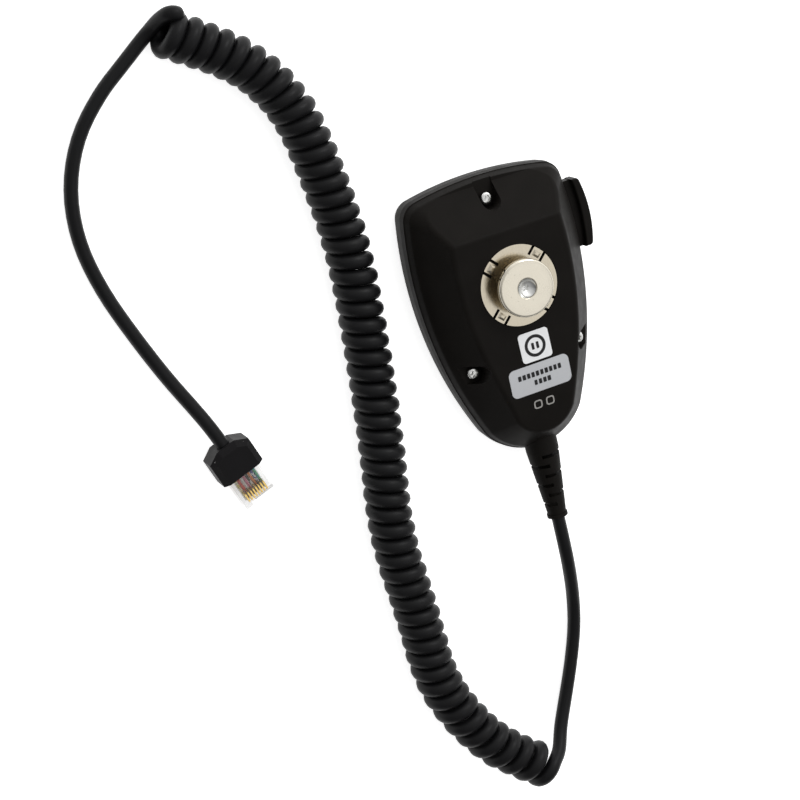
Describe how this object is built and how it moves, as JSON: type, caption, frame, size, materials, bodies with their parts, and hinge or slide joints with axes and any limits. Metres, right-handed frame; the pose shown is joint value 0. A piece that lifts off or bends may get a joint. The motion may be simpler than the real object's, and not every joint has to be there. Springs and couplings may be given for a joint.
{
  "type": "hand microphone",
  "caption": "Palm-held hand microphone with a side push-to-talk bar, a hang-up stud on its back, and a curly cord to a modular plug.",
  "frame": {"origin": "on the surface the microphone lies on, under the middle of the case, bar and strain relief together", "axes": "+Y runs up the case away from the cord, +Z out of its back, +X towards the push-to-talk bar"},
  "size_m": [0.1677, 0.2948, 0.0325],
  "materials": {
    "case_plastic": "fine moulded texture, matte",
    "ptt_plastic": "smooth satin",
    "relief_rubber": "matte moulded rubber",
    "seal_rubber": "matte",
    "stud_nickel": "satin nickel",
    "plate_nickel": "brushed, slightly warm",
    "screw_steel": "bright plated",
    "spring_steel": "drawn wire",
    "brass": "plain",
    "label_white": "satin film",
    "label_grey": "satin film",
    "switch_plastic": "plain",
    "plunger_plastic": "plain",
    "acoustic_cloth": "fine weave",
    "capsule_metal": "drawn",
    "board_laminate": "solder mask",
    "chip_epoxy": "moulded",
    "capacitor_sleeve": "sleeved",
    "header_nylon": "moulded",
    "cord_jacket": "satin",
    "wire_insulation": "eight colours",
    "boot_plastic": "moulded",
    "clear_plastic": "clear moulded",
    "contact_gold": "gold plated"
  },
  "bodies": {
    "microphone": {"front_shell": "case_plastic", "back_cover": "case_plastic", "cover_screws": "screw_steel", "hang_up_stud": "stud_nickel", "stud_plate": "plate_nickel", "stud_screw": "screw_steel", "stud_nut": "screw_steel", "hang_up_lead": "brass", "square_label": "label_white", "wide_label": "label_grey", "ptt_seal": "seal_rubber", "ptt_springs": "spring_steel", "ptt_switch": "switch_plastic", "grille_cloth": "acoustic_cloth", "mic_capsule": "capsule_metal", "capsule_boot": "seal_rubber", "circuit_board": "board_laminate", "board_screws": "screw_steel", "preamp_chip": "chip_epoxy", "board_capacitors": "capacitor_sleeve", "cord_header": "header_nylon", "cord_inner_end": "cord_jacket", "cord_leads": "wire_insulation", "cord_clamp": "switch_plastic", "clamp_screws": "screw_steel", "strain_relief": "relief_rubber", "cord_tail_mic": "cord_jacket", "curly_cord": "cord_jacket", "cord_tail_plug": "cord_jacket", "plug_boot": "boot_plastic", "plug_body": "clear_plastic", "plug_contacts": "contact_gold", "plug_wires": "wire_insulation"},
    "ptt_bar": {"ptt_bar": "ptt_plastic"},
    "ptt_plunger": {"ptt_plunger": "plunger_plastic"},
    "plug_latch": {"plug_latch": "clear_plastic"}
  },
  "joints": [
    {"name": "ptt_press", "type": "slide", "parent": "microphone", "child": "ptt_bar", "axis": [-1, 0, 0], "range_m": [0, 0.0012], "stiffness_N_per_m": 1500, "springref_m": -0.001, "deforming": ["ptt_springs"]},
    {"name": "plunger_travel", "type": "slide", "parent": "microphone", "child": "ptt_plunger", "axis": [-1, 0, 0], "range_m": [0, 0.0012]},
    {"name": "latch_flex", "type": "hinge", "parent": "microphone", "child": "plug_latch", "pos_m": [-0.10012, -0.01891, 0.0019], "axis": [0.9483, 0.3173, 0], "range_deg": [0, 4.5], "stiffness_Nm_per_rad": 0.3}
  ],
  "couplings": [
    {"joint": "plunger_travel", "follows": "ptt_press", "ratio": 1}
  ]
}
